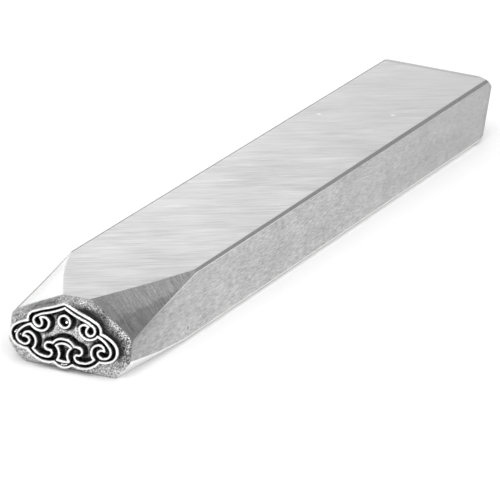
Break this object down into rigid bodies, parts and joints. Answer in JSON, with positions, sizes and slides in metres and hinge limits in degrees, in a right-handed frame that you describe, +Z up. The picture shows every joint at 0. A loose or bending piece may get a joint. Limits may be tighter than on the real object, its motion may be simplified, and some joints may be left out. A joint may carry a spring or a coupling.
{
  "type": "leather stamping tool",
  "caption": "Flat steel bar with ground facets at one end, where a cloud-shaped ornament stands in relief for stamping leather. The other end is struck.",
  "frame": {"origin": "under the middle of the bar, on the plane of the wide face that it lies on", "axes": "+Y along the bar from the stamping end to the struck end, +X across its width, +Z up out of its upper wide face; the top of the ornament points to +Z"},
  "size_m": [0.015, 0.105, 0.008],
  "materials": {
    "stainless_steel": "fine belt-ground satin, grain about 35 degrees off square on the wide face, coarser cross grinding on the facets, granular recesses, bright worn ridge tops"
  },
  "bodies": {
    "root": {"stamp_body": "stainless_steel"}
  },
  "joints": []
}
